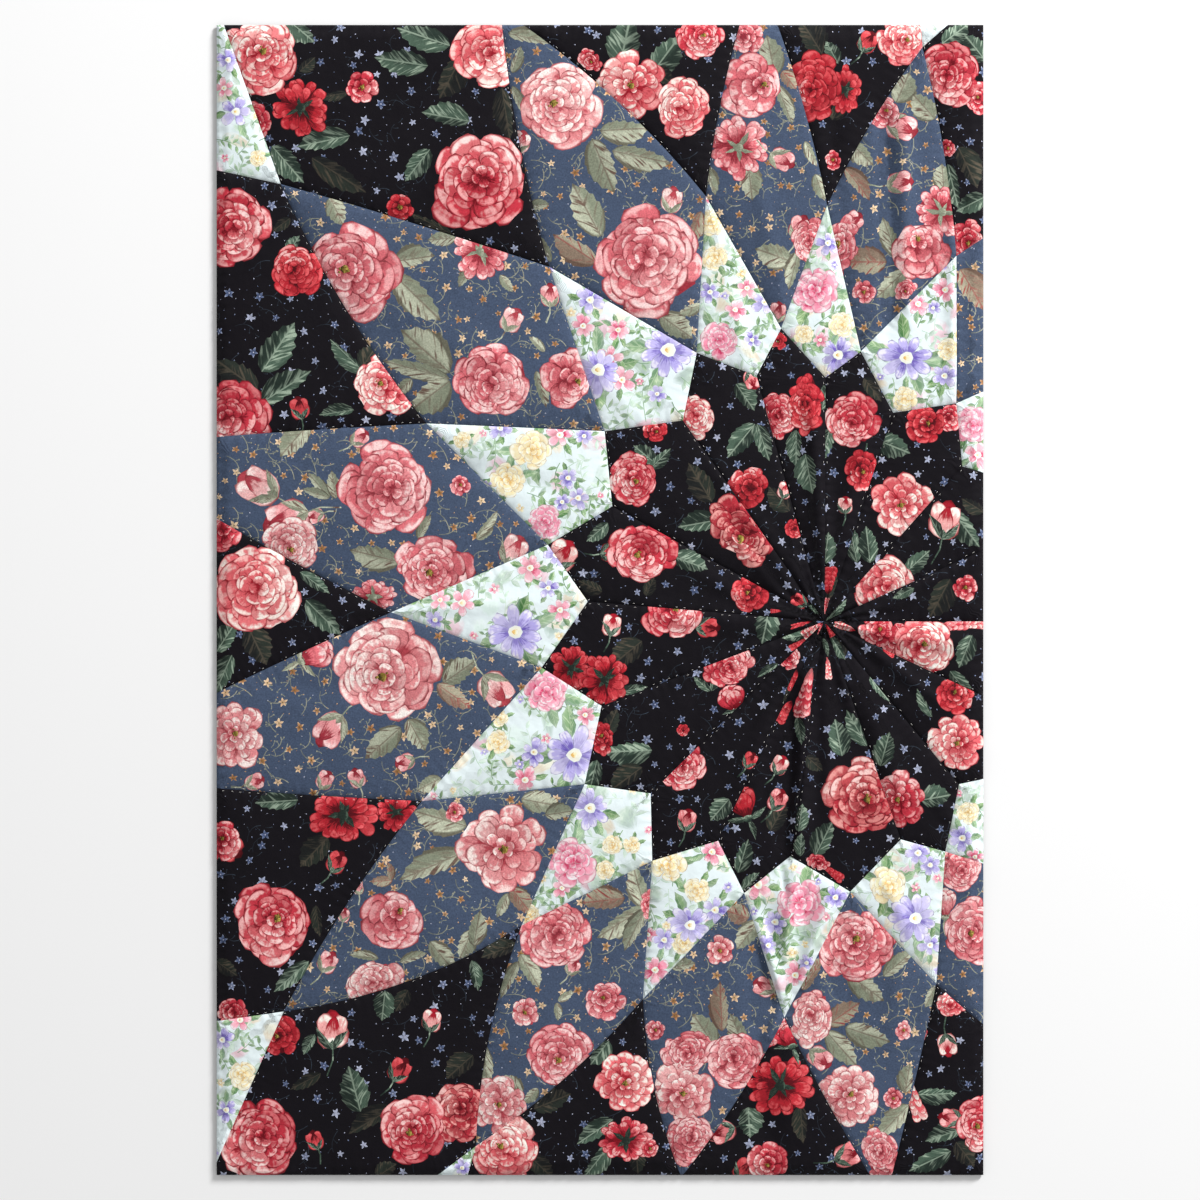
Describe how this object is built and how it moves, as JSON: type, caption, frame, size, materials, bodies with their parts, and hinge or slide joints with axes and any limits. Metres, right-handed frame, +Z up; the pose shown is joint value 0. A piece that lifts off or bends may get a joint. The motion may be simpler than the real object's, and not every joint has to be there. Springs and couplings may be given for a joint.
{
  "type": "patchwork quilt length",
  "caption": "Rectangular length of hand-quilted patchwork, pieced as a large flower of radiating kite patches in floral cotton, puffed between its seams and pleated at its heart.",
  "frame": {"origin": "middle of the flat underside", "axes": "+Z up out of the printed face, +Y along the long side towards the picture's top, +X towards the picture's right"},
  "size_m": [0.5, 0.75, 0.0108],
  "materials": {
    "quilted_cotton": "matt printed plain-weave cotton in black, slate blue and white grounds with red roses"
  },
  "bodies": {
    "root": {"quilt": "quilted_cotton"}
  },
  "joints": []
}
